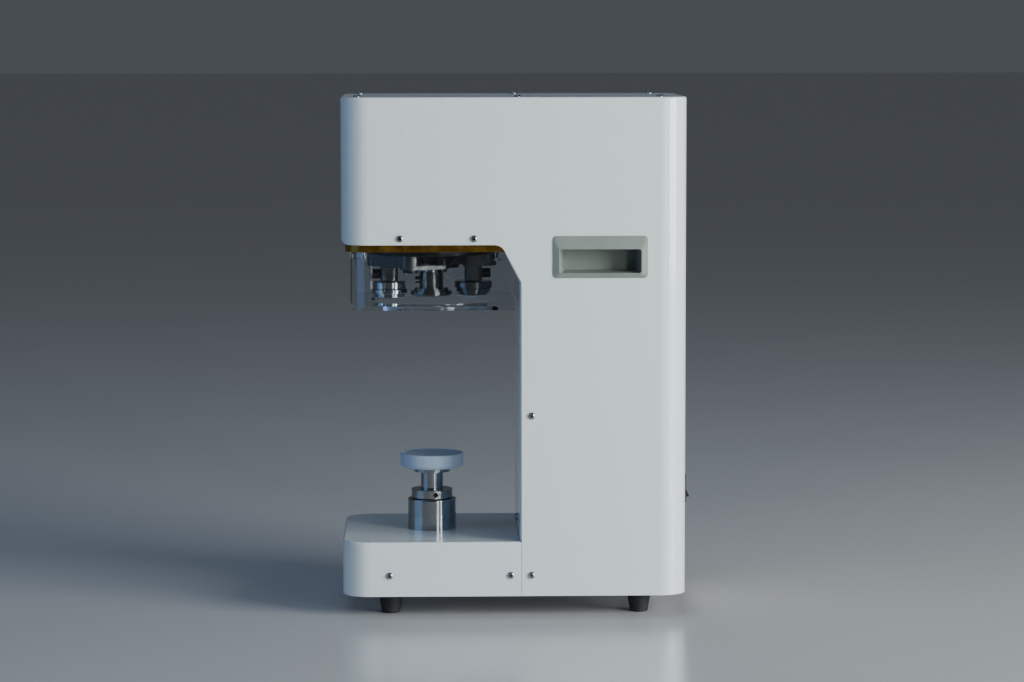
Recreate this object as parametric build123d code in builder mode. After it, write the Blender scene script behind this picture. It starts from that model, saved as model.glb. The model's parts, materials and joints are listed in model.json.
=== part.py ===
from build123d import *
import os

# Bench-top can and cup sealing machine. The front faces -Y, +Z is up, and the origin lies on
# the table under the middle of the machine. All sizes are in millimetres.

# ---- Driving dimensions: body ----
body_width = 208.0
body_depth = 360.0
foot_height = 22.0
base_height = 57.2  # lower edge of the shell to the top of the base
gap_height = 310.7  # top of the base to the lower edge of the head
head_height = 152.6  # lower edge of the head to the top of the lid
head_reach = 187.4  # front of the head to the front edge of the column
corner_r = 28.0  # upright corners, seen from above
sheet = 1.5  # thickness of the coated sheet steel
lid_sheet = 2.0
edge_r = 1.9  # bend along the top of the base cover and of the lid
throat_rise = 38.9  # the sloped corner where column meets head
throat_run = 20.9
throat_r = 12.0
nose_r = 8.0  # lower front edge of the head
fit_gap = 0.3  # loose clearance between neighbouring sheet parts
running = 0.05  # radial clearance of a shaft that turns or slides

# ---- Driving dimensions: sealing head ----
axis_reach = 94.0  # front of the head to the sealing axis
plate_thick = 20.0
plate_drop = 7.4  # how far the head plate shows below the shell
plate_inset = 2.7  # gap between the plate and the shell's front wall
plate_tail = 22.6  # how far the plate runs back past the column's front edge
rotor_r = 71.0
rotor_thick = 6.0
rotor_gap = 1.1
hub_r = 20.0
sleeve_r = 15.0
spindle_r = 10.0
bearing_r = 31.0
bearing_width = 12.0
cam_r = 25.5
cam_throw = 3.1
cam_angle = -70.0
cam_thick = 9.8
arm_thick = 12.6
arm_gap = 0.8
pivot_place = (40.0, -22.0)
follower_place = (31.95, 11.63)
follower_r = 8.0
roller_offset = 44.8
chuck_r = 22.0
chuck_face = 52.8  # gold plate's underside down to the chuck's lower face

# ---- Driving dimensions: drive in the head ----
motor_reach = 275.0  # front of the head to the motor's axis
motor_r = 40.0
motor_length = 96.0
rotor_pulley_r = 47.2
cam_pulley_r = 48.0
drive_pulley_r = 15.6
belt_width = 14.0
belt_thick = 2.4
belt_gap = 0.3

# ---- Driving dimensions: lift ----
cylinder_r = 25.8
cylinder_rise = 32.8  # above the top of the base
stem_r = 12.0
collar_r = 22.1
collar_height = 10.0
tray_r = 33.8
tray_thick = 15.5
tray_rim = 3.0
tray_recess = 1.0
tray_edge_r = 5.0
tray_rise = 81.4  # top of the base to the tray's upper face
screw_r = 5.0
lift_motor_size = 42.0
lift_deck = 24.0  # top of the lift's deck above the base plate's underside

# ---- Driving dimensions: handles, display, inlet, guard ----
handle_length = 98.6
handle_height = 43.7
handle_reach = 269.2  # front of the head to the middle of the handle
handle_drop = 12.65  # lower edge of the head down to the handle's middle
handle_proud = 3.0  # edge of the pocket above the shell
handle_edge = 0.8  # thickness of the outer edge
handle_lap = 1.2  # how far the rim laps over the shell's window
handle_rim = 0.8  # flat rim round the pocket
pocket_length = 84.8
pocket_height = 24.8
pocket_depth = 30.0
pocket_drop = 4.4  # middle of the pocket below the middle of the handle
pocket_draft = (9.0, 3.0)  # how much shorter and lower the pocket is at its floor
display_width = 132.0
display_height = 80.5
display_rise = 29.5
display_inset = 1.2
inlet_x = 40.0
inlet_rise = 85.0
switch_proud = 6.0
guard_half_width = 97.0
guard_front = 9.5  # behind the front of the head
guard_back_gap = 3.8
guard_bottom = 68.4  # below the head's lower edge
guard_wall = 4.0
guard_hole_r = 70.5
guard_corner_r = 24.0

# ---- Levels and places worked out from them ----
z_shell = foot_height
z_base_top = z_shell + base_height
z_head = z_base_top + gap_height
z_top = z_head + head_height
z_lid = z_top - lid_sheet
front_y = -(body_depth + switch_proud) / 2
rear_y = front_y + body_depth
mid_y = (front_y + rear_y) / 2
axis_y = front_y + axis_reach
column_y = front_y + head_reach
inner_half = body_width / 2 - sheet
plate_bottom = z_head - plate_drop
plate_top = plate_bottom + plate_thick
motor_y = front_y + motor_reach
cylinder_flange_r = cylinder_r + 11.0
lift_motor_y = axis_y + cylinder_flange_r + fit_gap + lift_motor_size / 2
diagonal = 0.5 ** 0.5  # share of a radius along each axis at 45 degrees

# ---- Fasteners ----
m4_r = 2.0
m4_head_r = 3.8
m4_head = 2.2
m5_r = 2.5
m5_head_r = 4.25
m5_head = 5.0
hole_clear = 0.25
side_screw_low = 22.0  # height of the lower side screws above the shell's edge
side_points = (
    (front_y + 61.3, z_head + 6.6),
    (front_y + 138.1, z_head + 6.6),
    (column_y + 10.3, z_base_top + 132.4),
    (front_y + 49.2, z_shell + side_screw_low),
    (column_y - 11.4, z_shell + side_screw_low),
    (column_y + 10.3, z_shell + side_screw_low),
)
lid_screw_x = body_width / 2 - 19.0
lid_screw_y = (front_y + 17.3, mid_y + 4.0, rear_y - 28.0)
lid_points = [(x, y) for x in (-lid_screw_x, lid_screw_x) for y in lid_screw_y]
panel_screw_rise = 11.5  # above the top of the base


def rounded_plan(half_width, y_low, y_high, radius):
    """Rectangle with rounded corners, between two depths and centred in width."""
    with Locations((0, (y_low + y_high) / 2)):
        RectangleRounded(2 * half_width, y_high - y_low, radius)


def button_screw(length, shank_r=m4_r, head_r=m4_head_r, head=m4_head):
    """Button-head screw: the head stands on the XY plane and the shank points down."""
    with BuildPart() as screw:
        with BuildSketch(Plane.XZ):
            with BuildLine():
                Polyline((0, head), (0, -length), (shank_r, -length), (shank_r, 0),
                         (head_r, 0), (head_r, head * 0.25))
                ThreePointArc((head_r, head * 0.25), (head_r * 0.86, head * 0.68),
                              (head_r * 0.55, head))
                Line((head_r * 0.55, head), (0, head))
            make_face()
        revolve(axis=Axis.Z)
        with BuildSketch(Plane.XY.offset(head)):
            RegularPolygon(radius=shank_r * 0.72, side_count=6)
        extrude(amount=-head * 0.7, mode=Mode.SUBTRACT)
    return screw.part


def cap_screw(length, shank_r=m5_r, head_r=m5_head_r, head=m5_head):
    """Socket-head cap screw: the head stands on the XY plane and the shank points down."""
    with BuildPart() as screw:
        with BuildSketch():
            Circle(head_r)
        extrude(amount=head)
        chamfer(screw.faces().sort_by(Axis.Z)[-1].edges(), length=0.4)
        with BuildSketch():
            Circle(shank_r)
        extrude(amount=-length)
        with BuildSketch(Plane.XY.offset(head)):
            RegularPolygon(radius=shank_r * 0.92, side_count=6)
        extrude(amount=-head * 0.55, mode=Mode.SUBTRACT)
    return screw.part


def save(piece, name):
    piece.part.label = name
    export_step(piece.part, f"parts/{name}.step")


os.makedirs("parts", exist_ok=True)
side_screw = button_screw(length=12)
lid_screw = button_screw(length=8)
panel_screw = button_screw(length=6)
guard_screw = button_screw(length=14)
long_cap_screw = cap_screw(length=14)
short_cap_screw = cap_screw(length=8)

# ================= Body: base, column and head =================

# Base plate: the chassis floor, with turned-up flanges that take the lower side screws.
plate_floor = 3.0
flange_rise = 32.0
frame_x = inner_half - 3.2  # outer face of the side frames
frame_sheet = 3.0
base_half = inner_half - fit_gap
flange_sheet = 2.0
flange_front = front_y + corner_r + 4
flange_back = column_y - 2
foot_x = body_width / 2 - 34.0
foot_points = [(x, y) for x in (-foot_x, foot_x) for y in (front_y + 50.0, rear_y - 48.0)]
frame_back = rear_y - 22.0
frame_front = column_y + 2.1
frame_screw_y = (frame_front + 22.0, frame_back - 22.0)
frame_screw_x = frame_x - 12.0
frame_points = [(x, y) for x in (-frame_screw_x, frame_screw_x) for y in frame_screw_y]

with BuildPart() as base_plate:
    with BuildSketch(Plane.XY.offset(z_shell)):
        rounded_plan(base_half, front_y + sheet + fit_gap, rear_y - sheet - fit_gap,
                     corner_r - sheet - fit_gap)
    extrude(amount=plate_floor)
    with BuildSketch(Plane.XY.offset(z_shell)):
        for side in (-1, 1):
            with Locations((side * (base_half - flange_sheet / 2),
                            (flange_front + flange_back) / 2)):
                Rectangle(flange_sheet, flange_back - flange_front)
    extrude(amount=flange_rise)
    with BuildSketch(Plane.YZ):
        with Locations(*side_points[3:5]):
            Circle(m4_r + hole_clear)
    extrude(amount=body_width / 2, both=True, mode=Mode.SUBTRACT)
    with BuildSketch(Plane.XY.offset(z_shell)):
        with Locations(*foot_points, *frame_points):
            Circle(m5_r + hole_clear)
    extrude(amount=plate_floor, mode=Mode.SUBTRACT)
save(base_plate, "base_plate")

# Feet: tapered rubber, each held by a cap screw sunk in its underside.
foot_top_r = 13.0
foot_bottom_r = 9.3
foot_screw_seat = 12.0
with BuildPart() as feet:
    with BuildSketch(Plane.XZ):
        with BuildLine():
            Polyline((0, 0), (foot_bottom_r, 0), (foot_top_r, foot_height),
                     (0, foot_height), close=True)
        make_face()
    revolve(axis=Axis.Z)
    fillet(feet.edges().group_by(Axis.Z)[0], radius=1.2)
    with BuildSketch():
        Circle(m5_head_r + hole_clear)
    extrude(amount=foot_screw_seat, mode=Mode.SUBTRACT)
    with BuildSketch():
        Circle(m5_r + hole_clear)
    extrude(amount=foot_height, mode=Mode.SUBTRACT)
foot = feet.part
with BuildPart() as feet:
    with Locations(*[(x, y, 0) for x, y in foot_points]):
        add(foot)
save(feet, "feet")

# Base cover: the coated hood over the front of the base, with a hole for the lift cylinder.
panel_proud = 1.9
panel_half = inner_half - sheet
seam = 0.4
cover_back = column_y - seam
panel_face = column_y - panel_proud
with BuildPart() as base_cover:
    with BuildSketch(Plane.XY.offset(z_shell)):
        rounded_plan(body_width / 2, front_y, rear_y, corner_r)
    extrude(amount=base_height)
    fillet(base_cover.faces().sort_by(Axis.Z)[-1].edges(), radius=edge_r)
    with BuildSketch(Plane.XY.offset(z_shell)):
        rounded_plan(inner_half, front_y + sheet, rear_y, corner_r - sheet)
    extrude(amount=base_height - sheet, mode=Mode.SUBTRACT)
    with BuildSketch(Plane.XY.offset(z_shell)):
        with Locations((0, (cover_back + rear_y) / 2 + 5)):
            Rectangle(body_width + 10, rear_y - cover_back + 10)
    extrude(amount=base_height, mode=Mode.SUBTRACT)
    with BuildSketch(Plane.XY.offset(z_shell)):
        with Locations((0, panel_face - fit_gap + sheet)):
            Rectangle(2 * (panel_half + fit_gap), 2 * sheet)
        with Locations((0, axis_y)):
            Circle(cylinder_r + fit_gap)
    extrude(amount=base_height, mode=Mode.SUBTRACT)
    with BuildSketch(Plane.YZ):
        with Locations(*side_points[3:5]):
            Circle(m4_r + hole_clear)
    extrude(amount=body_width / 2 + 1, both=True, mode=Mode.SUBTRACT)
save(base_cover, "base_cover")

# Body shell: one wrapped and welded sheet for the column's sides, the back and the head.
handle_y = front_y + handle_reach
handle_z = z_head - handle_drop
display_z = z_head + display_rise + display_height / 2
inlet_z = z_shell + inlet_rise + 22.0
inlet_width = 50.0
inlet_height = 27.0
window_clear = 0.4
tab_depth = 24.0
with BuildPart() as body_shell:
    with BuildSketch(Plane.XY.offset(z_shell)):
        rounded_plan(body_width / 2, front_y, rear_y, corner_r)
        with Locations((0, mid_y)):
            RectangleRounded(2 * inner_half, body_depth - 2 * sheet, corner_r - sheet,
                             mode=Mode.SUBTRACT)
    extrude(amount=z_lid - z_shell)
    with BuildSketch(Plane.YZ):
        with BuildLine():
            FilletPolyline(
                (rear_y, z_shell), (column_y, z_shell), (column_y, z_head - throat_rise),
                (column_y - throat_run, z_head), (front_y, z_head), (front_y, z_lid),
                (rear_y, z_lid), radius=[0, 0, 3, throat_r, nose_r, 0, 0], close=True)
        make_face()
    extrude(amount=body_width, both=True, mode=Mode.INTERSECT)
    with BuildSketch(Plane.XY.offset(z_lid - sheet)):
        for side in (-1, 1):
            with Locations(*[(side * (inner_half - tab_depth / 2 + 0.5), y) for y in lid_screw_y]):
                Rectangle(tab_depth + 1, 16)
    extrude(amount=sheet)
    with BuildSketch(Plane.XY.offset(z_shell)):
        rounded_plan(body_width / 2, front_y, rear_y, corner_r)
    extrude(amount=z_lid - z_shell, mode=Mode.INTERSECT)
    with BuildSketch(Plane.XY.offset(z_lid - sheet)):
        with Locations(*lid_points):
            Circle(m4_r + hole_clear)
    extrude(amount=sheet, mode=Mode.SUBTRACT)
    with BuildSketch(Plane.YZ):
        with Locations(*side_points[:3], side_points[5]):
            Circle(m4_r + hole_clear)
        with Locations((handle_y, handle_z)):
            RectangleRounded(handle_length - 2 * handle_lap, handle_height - 2 * handle_lap, 3)
    extrude(amount=body_width / 2 + 1, both=True, mode=Mode.SUBTRACT)
    with BuildSketch(Plane.XZ.offset(-(front_y - 1))):
        with Locations((0, display_z)):
            RectangleRounded(display_width, display_height, 3)
    extrude(amount=-(sheet + 2), mode=Mode.SUBTRACT)
    with BuildSketch(Plane.XZ.offset(-(rear_y + 1))):
        with Locations((inlet_x, inlet_z)):
            Rectangle(inlet_width - 3, inlet_height - 3)
    extrude(amount=sheet + 2, mode=Mode.SUBTRACT)
save(body_shell, "body_shell")

# Lid: closes the shell's top edge, screwed to the tabs inside it.
with BuildPart() as top_cover:
    with BuildSketch(Plane.XY.offset(z_lid)):
        rounded_plan(body_width / 2, front_y, rear_y, corner_r)
    extrude(amount=lid_sheet)
    fillet(top_cover.faces().sort_by(Axis.Z)[-1].edges(), radius=edge_r)
    with BuildSketch(Plane.XY.offset(z_lid)):
        with Locations(*lid_points):
            Circle(m4_r + hole_clear)
    extrude(amount=lid_sheet, mode=Mode.SUBTRACT)
save(top_cover, "top_cover")

# Column panel: bent sheet with returned sides, that follows the sloped throat up to the plate.
panel_z = z_shell + plate_floor + fit_gap
slope_top = plate_bottom - fit_gap
slope_y = column_y - throat_run * (slope_top - (z_head - throat_rise)) / throat_rise
return_depth = 18.0
with BuildPart() as column_panel:
    with BuildSketch(Plane.YZ):
        with BuildLine():
            FilletPolyline(
                (panel_face, panel_z), (panel_face, z_head - throat_rise),
                (slope_y - 1.0, slope_top), (panel_face + return_depth, slope_top),
                (panel_face + return_depth, panel_z), radius=[0, 3, 0, 0, 0], close=True)
        make_face()
    extrude(amount=panel_half, both=True)
    front_edges = column_panel.edges().filter_by(Axis.Z).group_by(Axis.Y)[0]
    fillet(front_edges, radius=3.0)
    with BuildSketch(Plane.YZ):
        with BuildLine():
            FilletPolyline(
                (panel_face + sheet, panel_z - 1), (panel_face + sheet, z_head - throat_rise + 0.5),
                (slope_y - 1.0 + sheet * 1.1, slope_top + 1), (column_y + 40, slope_top + 1),
                (column_y + 40, panel_z - 1), radius=[0, 2, 0, 0, 0], close=True)
        make_face()
    extrude(amount=panel_half - sheet, both=True, mode=Mode.SUBTRACT)
    with BuildSketch(Plane.YZ):
        with Locations(side_points[2], side_points[5]):
            Circle(m4_r + hole_clear)
    extrude(amount=body_width / 2, both=True, mode=Mode.SUBTRACT)
    with BuildSketch(Plane.XZ.offset(-(panel_face - 1))):
        with Locations((0, z_base_top + panel_screw_rise)):
            Circle(m4_r + hole_clear)
    extrude(amount=-(sheet + 2), mode=Mode.SUBTRACT)
save(column_panel, "column_panel")

# Side frames: bent steel plates that carry the head on the base plate, notched for the handles.
frame_foot = z_shell + plate_floor
notch_y = (handle_y - handle_length / 2 - 2, handle_y + handle_length / 2 + 2)
notch_z = handle_z - handle_height / 2 - 2
foot_flange = 22.0
frame_nodes = {}
for side, name in ((-1, "side_frame_left"), (1, "side_frame_right")):
    outer = side * frame_x
    with BuildPart() as side_frame:
        with BuildSketch(Plane.YZ.offset(outer)):
            with BuildLine():
                Polyline(
                    (frame_front, frame_foot), (frame_back, frame_foot), (frame_back, plate_top),
                    (notch_y[1], plate_top), (notch_y[1], notch_z), (notch_y[0], notch_z),
                    (notch_y[0], plate_bottom), (frame_front, plate_bottom), close=True)
            make_face()
            with Locations(side_points[2], side_points[5]):
                Circle(m4_r + hole_clear, mode=Mode.SUBTRACT)
        extrude(amount=-side * frame_sheet)
        with BuildSketch(Plane.XY.offset(frame_foot)):
            with Locations((outer - side * foot_flange / 2, (frame_front + frame_back) / 2)):
                Rectangle(foot_flange, frame_back - frame_front)
        extrude(amount=frame_sheet)
        with BuildSketch(Plane.XY.offset(plate_bottom - frame_sheet)):
            with Locations((outer - side * foot_flange / 2, (frame_front + notch_y[0]) / 2)):
                Rectangle(foot_flange, notch_y[0] - frame_front)
        extrude(amount=frame_sheet)
        with BuildSketch(Plane.XY.offset(frame_foot)):
            with Locations(*[point for point in frame_points if point[0] * side > 0]):
                Circle(m5_r + hole_clear)
        extrude(amount=frame_sheet, mode=Mode.SUBTRACT)
    save(side_frame, name)

# ================= Head: plate, guard, spindle and rotor =================

# Head plate: thick anodised plate that closes the head and carries the rotor's bearings.
plate_front = front_y + sheet + plate_inset
plate_back = column_y + plate_tail
post_x = 68.0
post_y = 34.0
post_points = [(x, axis_y + y) for x in (-post_x, post_x) for y in (-post_y, post_y)]
housing_r = 48.0
housing_bolt_r = 40.0
guard_y = front_y + guard_front
guard_back = column_y - panel_proud - guard_back_gap
lug_size = 12.0
lug_thick = 8.0
lug_x = guard_half_width - guard_wall - lug_size / 2
lug_back = slope_y - 2.5 - lug_size / 2
lug_points = [(side * x, y) for side in (-1, 1)
              for x, y in ((lug_x, lug_back), (lug_x - 14.0, guard_y + 14.0))]
with BuildPart() as head_plate:
    with BuildSketch(Plane.XY.offset(plate_bottom)):
        rounded_plan(inner_half - fit_gap, plate_front, plate_back + corner_r,
                     corner_r - sheet - plate_inset)
        with Locations((0, plate_back + corner_r)):
            Rectangle(body_width, 2 * corner_r, mode=Mode.SUBTRACT)
    extrude(amount=plate_thick)
    with BuildSketch(Plane.XY.offset(plate_bottom)):
        with Locations((0, axis_y)):
            Circle(hub_r + 5.0)
    extrude(amount=plate_thick, mode=Mode.SUBTRACT)
    with BuildSketch(Plane.XY.offset(plate_top)):
        with Locations((0, axis_y)):
            Circle(bearing_r + 0.02)
    extrude(amount=-bearing_width, mode=Mode.SUBTRACT)
    with BuildSketch(Plane.XY.offset(plate_top)):
        with Locations((0, axis_y)):
            with PolarLocations(housing_bolt_r, 4, start_angle=45):
                Circle(m5_r + hole_clear)
        with Locations(*post_points):
            Circle(m5_r + hole_clear)
    extrude(amount=-(plate_thick - 6.0), mode=Mode.SUBTRACT)
    with BuildSketch(Plane.XY.offset(plate_bottom)):
        with Locations(*lug_points):
            Circle(m4_r + hole_clear)
    extrude(amount=10.0, mode=Mode.SUBTRACT)
    with BuildSketch(Plane.YZ):
        with Locations(*side_points[:2]):
            Circle(m4_r + hole_clear)
    extrude(amount=body_width / 2, both=True, mode=Mode.SUBTRACT)
save(head_plate, "head_plate")

# Guard: clear box below the plate, open at the back, with a round hole for the cup.
guard_z = z_head - guard_bottom
guard_top = plate_bottom
with BuildPart() as guard:
    with BuildSketch(Plane.XY.offset(guard_z)):
        rounded_plan(guard_half_width, guard_y, guard_back + 60, guard_corner_r)
        with Locations((0, guard_back + 50)):
            Rectangle(3 * guard_half_width, 100, mode=Mode.SUBTRACT)
    extrude(amount=guard_top - guard_z)
    with BuildSketch(Plane.XY.offset(guard_z + guard_wall)):
        rounded_plan(guard_half_width - guard_wall, guard_y + guard_wall, guard_back + 80,
                     guard_corner_r - guard_wall)
    extrude(amount=guard_top - guard_z, mode=Mode.SUBTRACT)
    with BuildSketch(Plane.XY.offset(guard_z)):
        with Locations((0, axis_y)):
            Circle(guard_hole_r)
    extrude(amount=guard_wall, mode=Mode.SUBTRACT)
    with BuildSketch(Plane.XY.offset(guard_top - lug_thick)):
        with Locations(*[point for point in lug_points if point[1] > axis_y]):
            Rectangle(lug_size + 2, lug_size)
        with Locations(*[point for point in lug_points if point[1] < axis_y]):
            Rectangle(lug_size + 4, lug_size + 12)
    extrude(amount=lug_thick)
    with BuildSketch(Plane.XY.offset(guard_z)):
        rounded_plan(guard_half_width, guard_y, guard_back + 60, guard_corner_r)
    extrude(amount=guard_top - guard_z, mode=Mode.INTERSECT)
    with BuildSketch(Plane.YZ):
        with BuildLine():
            Polyline((panel_face - 1.0, z_head - throat_rise - 2.0), (slope_y - 2.2, slope_top + 1),
                     (column_y + 50, slope_top + 1), (column_y + 50, z_head - throat_rise - 2.0),
                     close=True)
        make_face()
    extrude(amount=body_width, both=True, mode=Mode.SUBTRACT)
    with BuildSketch(Plane.XY.offset(guard_top)):
        with Locations(*lug_points):
            Circle(m4_r + hole_clear)
    extrude(amount=-lug_thick, mode=Mode.SUBTRACT)
save(guard, "guard")

# Levels in the rotor, from the chuck up to the clamp at the top.
chuck_z = plate_bottom - chuck_face
rotor_z = plate_bottom - rotor_gap - rotor_thick
arm_z = rotor_z - arm_gap - arm_thick
cam_z = rotor_z - 0.6 - cam_thick
tail_thick = 4.4
tail_z = arm_z - 2.0
holder_height = 15.5
holder_z = arm_z - holder_height
housing_height = 24.0
pulley_height = belt_width + 2.0
rotor_pulley_z = plate_top + housing_height + 3.5
cam_pulley_z = rotor_pulley_z + pulley_height + 6.0
hub_top = rotor_pulley_z + pulley_height + 2.0
sleeve_top = cam_pulley_z + pulley_height + 2.0
bridge_z = sleeve_top + 4.0
bridge_thick = 12.0
spindle_top = bridge_z + bridge_thick + 8.0


def head_frame(turn, z):
    """Level plane on the sealing axis, turned about it."""
    return Plane(origin=(0, axis_y, z), x_dir=Vector(1, 0, 0).rotate(Axis.Z, turn), z_dir=(0, 0, 1))


# Spindle and chuck: they stand still and hold the lid down while the rollers go round.
chuck_lip = 5.3
chuck_collar_r = 18.5
chuck_hub_r = spindle_r + 2.8
chuck_height = 25.3
chuck_screw_z = chuck_z + 16.8
with BuildPart() as spindle:
    with BuildSketch(head_frame(0, chuck_z + 2.0)):
        Circle(spindle_r)
    extrude(amount=spindle_top - chuck_z - 2.0)
    chamfer(spindle.edges().filter_by(GeomType.CIRCLE), length=0.8)
save(spindle, "spindle")

with BuildPart() as chuck:
    with BuildSketch(head_frame(0, chuck_z)):
        Circle(chuck_r)
    extrude(amount=chuck_lip)
    fillet(chuck.edges().group_by(Axis.Z)[0], radius=1.5)
    with BuildSketch(head_frame(0, chuck_z + chuck_lip)):
        Circle(chuck_collar_r)
    extrude(amount=3.0)
    with BuildSketch(head_frame(0, chuck_z)):
        Circle(chuck_hub_r)
    extrude(amount=chuck_height)
    chamfer(chuck.edges().group_by(Axis.Z)[-1], length=0.6)
    with BuildSketch(head_frame(0, chuck_z + 1.9)):
        Circle(spindle_r + 0.02)
    extrude(amount=chuck_height, mode=Mode.SUBTRACT)
    with BuildSketch(head_frame(0, chuck_z)):
        Circle(7.0)
    extrude(amount=1.0, mode=Mode.SUBTRACT)
    with BuildSketch(Plane.XZ.offset(-axis_y)):
        with Locations((0, chuck_screw_z)):
            Circle(m4_r + hole_clear)
    extrude(amount=chuck_hub_r + 1, mode=Mode.SUBTRACT)
save(chuck, "chuck")

with BuildPart() as chuck_screw:
    with Locations(Location((0, axis_y - chuck_hub_r, chuck_screw_z), (90, 0, 0))):
        add(cap_screw(length=chuck_hub_r - spindle_r - 0.1, shank_r=m4_r, head_r=3.6, head=4.4))
save(chuck_screw, "chuck_screw")

# Bearings and their housing.
with BuildPart() as bearing_housing:
    with BuildSketch(head_frame(0, plate_top)):
        Circle(housing_r)
    extrude(amount=7.0)
    with BuildSketch(head_frame(0, plate_top)):
        Circle(bearing_r + 4.5)
    extrude(amount=housing_height)
    with BuildSketch(head_frame(0, plate_top)):
        Circle(hub_r + 5.0)
    extrude(amount=housing_height, mode=Mode.SUBTRACT)
    with BuildSketch(head_frame(0, plate_top + housing_height)):
        Circle(bearing_r + 0.02)
    extrude(amount=-bearing_width, mode=Mode.SUBTRACT)
    with BuildSketch(head_frame(0, plate_top)):
        with PolarLocations(housing_bolt_r, 4, start_angle=45):
            Circle(m5_r + hole_clear)
            Circle(m5_head_r + hole_clear)
    extrude(amount=7.0, mode=Mode.SUBTRACT)
    with BuildSketch(head_frame(0, plate_top)):
        with PolarLocations(housing_bolt_r, 4, start_angle=45):
            Circle(m5_head_r + 1.2)
            Circle(m5_r + hole_clear, mode=Mode.SUBTRACT)
    extrude(amount=2.0)
save(bearing_housing, "bearing_housing")

with BuildPart() as hub_bearings:
    for level in (plate_top - bearing_width, plate_top + housing_height - bearing_width):
        with BuildSketch(head_frame(0, level)):
            Circle(bearing_r)
            Circle(hub_r + running, mode=Mode.SUBTRACT)
        extrude(amount=bearing_width)
        for face_z, cut in ((level, 1.0), (level + bearing_width, -1.0)):
            with BuildSketch(head_frame(0, face_z)):
                Circle(bearing_r - 3.0)
                Circle(hub_r + 3.0, mode=Mode.SUBTRACT)
            extrude(amount=cut, mode=Mode.SUBTRACT)
save(hub_bearings, "hub_bearings")

housing_bolts = [(diagonal * housing_bolt_r * i, axis_y + diagonal * housing_bolt_r * j)
                 for i in (-1, 1) for j in (-1, 1)]
# Bridge: four posts and a cross plate that clamps the spindle above the pulleys.
post_r = 6.5
with BuildPart() as bridge_posts:
    with BuildSketch(Plane.XY.offset(plate_top)):
        with Locations(*post_points):
            RegularPolygon(radius=post_r, side_count=6)
    extrude(amount=bridge_z - plate_top)
    with BuildSketch(Plane.XY.offset(bridge_z)):
        with Locations(*post_points):
            Circle(m5_r + hole_clear)
    extrude(amount=-16.0, mode=Mode.SUBTRACT)
save(bridge_posts, "bridge_posts")

with BuildPart() as spindle_bridge:
    with BuildSketch(Plane.XY.offset(bridge_z)):
        with Locations((0, axis_y)):
            RectangleRounded(2 * post_x + 20, 2 * post_y + 20, 8)
            Circle(spindle_r + 0.02, mode=Mode.SUBTRACT)
        with Locations(*post_points):
            Circle(m5_r + hole_clear, mode=Mode.SUBTRACT)
    extrude(amount=bridge_thick)
save(spindle_bridge, "spindle_bridge")

# Rotor: disc and hollow hub that carry the two arms round the chuck.
pin_r = 6.0
with BuildPart() as rotor:
    with BuildSketch(head_frame(0, rotor_z)):
        Circle(rotor_r)
    extrude(amount=rotor_thick)
    chamfer(rotor.edges().filter_by(GeomType.CIRCLE), length=0.6)
    with BuildSketch(head_frame(0, rotor_z)):
        Circle(hub_r)
    extrude(amount=hub_top - rotor_z)
    with BuildSketch(head_frame(0, rotor_z)):
        Circle(sleeve_r + running)
        for turn in (0, 180):
            place = Vector(pivot_place[0], pivot_place[1], 0).rotate(Axis.Z, turn)
            with Locations((place.X, place.Y)):
                Circle(pin_r - 1.5)
    extrude(amount=hub_top - rotor_z, mode=Mode.SUBTRACT)
save(rotor, "rotor")


def pulley(z, rim_r, bore_r, height):
    """Belt pulley with a shallow flange at each end, on the sealing axis."""
    with BuildPart() as wheel:
        with BuildSketch(head_frame(0, z)):
            Circle(rim_r)
            Circle(bore_r, mode=Mode.SUBTRACT)
        extrude(amount=height)
        for level in (z, z + height - 0.9):
            with BuildSketch(head_frame(0, level)):
                Circle(rim_r + belt_gap + belt_thick)
                Circle(bore_r, mode=Mode.SUBTRACT)
            extrude(amount=0.9)
        with BuildSketch(head_frame(0, z)):
            with PolarLocations((rim_r + bore_r) / 2, 6):
                Circle((rim_r - bore_r) * 0.3)
        extrude(amount=height, mode=Mode.SUBTRACT)
    return wheel


save(pulley(rotor_pulley_z, rotor_pulley_r, hub_r + 0.02, pulley_height), "rotor_pulley")
save(pulley(cam_pulley_z, cam_pulley_r, sleeve_r + 0.02, pulley_height), "cam_pulley")

# Cam: an eccentric disc on a hollow shaft inside the rotor's hub.
with BuildPart() as cam:
    with BuildSketch(head_frame(cam_angle, cam_z)):
        with Locations((cam_throw, 0)):
            Circle(cam_r)
    extrude(amount=cam_thick)
    with BuildSketch(head_frame(0, cam_z)):
        Circle(sleeve_r)
    extrude(amount=sleeve_top - cam_z)
    with BuildSketch(head_frame(0, cam_z)):
        Circle(spindle_r + running)
    extrude(amount=sleeve_top - cam_z, mode=Mode.SUBTRACT)
save(cam, "cam")

# Arms: one lever each side, with its pivot, roller holder, seaming roller and cam follower.
block_width = 30.0
block_length = 36.7
block_place = -51.15
block_corner_r = 11.0
boss_r = 11.0
tail_r = 7.0
bolt_r = 4.0
holder_width = 24.0
holder_length = 18.7
holder_corner_r = 6.0
roller_gap = 1.1
clamp_rise = 6.8
clamp_side = 5.6
clamp_cap_screw = cap_screw(length=4.2, shank_r=2.6, head_r=5.0, head=9.2)
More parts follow.
